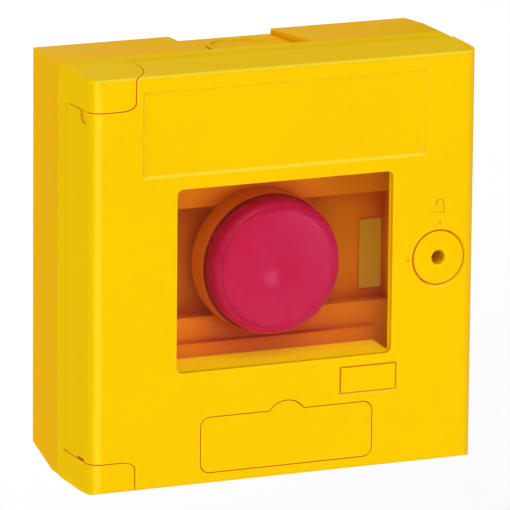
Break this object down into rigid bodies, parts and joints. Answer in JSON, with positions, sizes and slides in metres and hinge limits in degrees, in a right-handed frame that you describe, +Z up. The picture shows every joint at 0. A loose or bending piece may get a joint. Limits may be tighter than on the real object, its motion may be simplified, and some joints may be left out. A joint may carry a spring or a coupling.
{
  "type": "manual call point",
  "caption": "Square wall-mounted box with a hinged glazed door, key lock and lower flap, in front of a sprung mushroom push button with switch contacts.",
  "frame": {"origin": "middle of the wall face, level with the middle of the front face", "axes": "+X right as seen from the front, +Y into the wall, +Z up"},
  "size_m": [0.127, 0.051, 0.1284],
  "materials": {
    "shell_yellow": "moulded, fine texture, semi-gloss",
    "inner_orange": "moulded, satin",
    "screw_steel": "zinc plated",
    "zinc_plate": "zinc plated, stamped",
    "spring_steel": "bright drawn wire",
    "contact_brass": "stamped",
    "dark_plastic": "moulded, satin",
    "grey_plastic": "moulded, satin",
    "ivory_plastic": "moulded",
    "seal_rubber": "soft moulded",
    "clear_pane": "clear sheet",
    "lens_green": "translucent diffuser",
    "board_green": "solder mask",
    "led_epoxy": "diffused epoxy",
    "stem_metal": "turned",
    "head_crimson": "moulded, satin gloss"
  },
  "bodies": {
    "box": {"back_box": "shell_yellow", "hinge_frame": "shell_yellow", "frame_screws": "screw_steel", "hinge_pins": "screw_steel", "wall_screw_seals": "seal_rubber", "cable_blank": "shell_yellow", "inner_plate": "inner_orange", "plate_screws": "screw_steel", "lock_keeper": "zinc_plate", "keeper_screws": "screw_steel", "mushroom_collar": "inner_orange", "button_bush": "dark_plastic", "bush_nut": "dark_plastic", "return_spring": "spring_steel", "contact_bracket": "dark_plastic", "contact_housing": "dark_plastic", "contact_cover": "grey_plastic", "fixed_contacts": "contact_brass", "terminal_screws": "screw_steel", "contact_springs": "spring_steel", "indicator_lens": "lens_green", "indicator_board": "board_green", "indicator_leds": "led_epoxy", "board_screws": "screw_steel"},
    "door": {"door_shell": "shell_yellow", "window_pane": "clear_pane", "pane_gasket": "seal_rubber", "pane_retainer": "shell_yellow", "retainer_screws": "screw_steel", "blank_badge": "shell_yellow", "lock_bush": "dark_plastic", "lock_bush_screws": "screw_steel", "flap_pin": "screw_steel"},
    "flap": {"service_flap": "shell_yellow"},
    "lock": {"lock_barrel": "shell_yellow", "lock_cam": "zinc_plate", "cam_screw": "screw_steel"},
    "plunger": {"button_stem": "stem_metal"},
    "head": {"mushroom_head": "head_crimson"},
    "switch": {"contact_carriers": "ivory_plastic", "bridge_contacts": "contact_brass"}
  },
  "joints": [
    {"name": "door_hinge", "type": "hinge", "parent": "box", "child": "door", "pos_m": [-0.0565, -0.045, 0], "axis": [0, 0, -1], "range_deg": [0, 110]},
    {"name": "flap_tilt", "type": "hinge", "parent": "door", "child": "flap", "pos_m": [0, -0.0498, -0.0569], "axis": [1, 0, 0], "range_deg": [0, 80]},
    {"name": "lock_turn", "type": "hinge", "parent": "door", "child": "lock", "pos_m": [0.0505, -0.051, 0], "axis": [0, -1, 0], "range_deg": [0, 90]},
    {"name": "button_push", "type": "slide", "parent": "box", "child": "plunger", "axis": [0, 1, 0], "range_m": [0, 0.0045], "stiffness_N_per_m": 2000, "springref_m": -0.003, "deforming": ["return_spring"]},
    {"name": "head_turn", "type": "hinge", "parent": "plunger", "child": "head", "pos_m": [0, -0.045, 0], "axis": [0, 1, 0], "range_deg": [0, 45], "stiffness_Nm_per_rad": 0.05, "springref_deg": -5.73},
    {"name": "switch_slide", "type": "slide", "parent": "box", "child": "switch", "axis": [0, 1, 0], "range_m": [0, 0.0045], "deforming": ["contact_springs"]}
  ],
  "couplings": [
    {"joint": "switch_slide", "follows": "button_push", "ratio": 1}
  ]
}
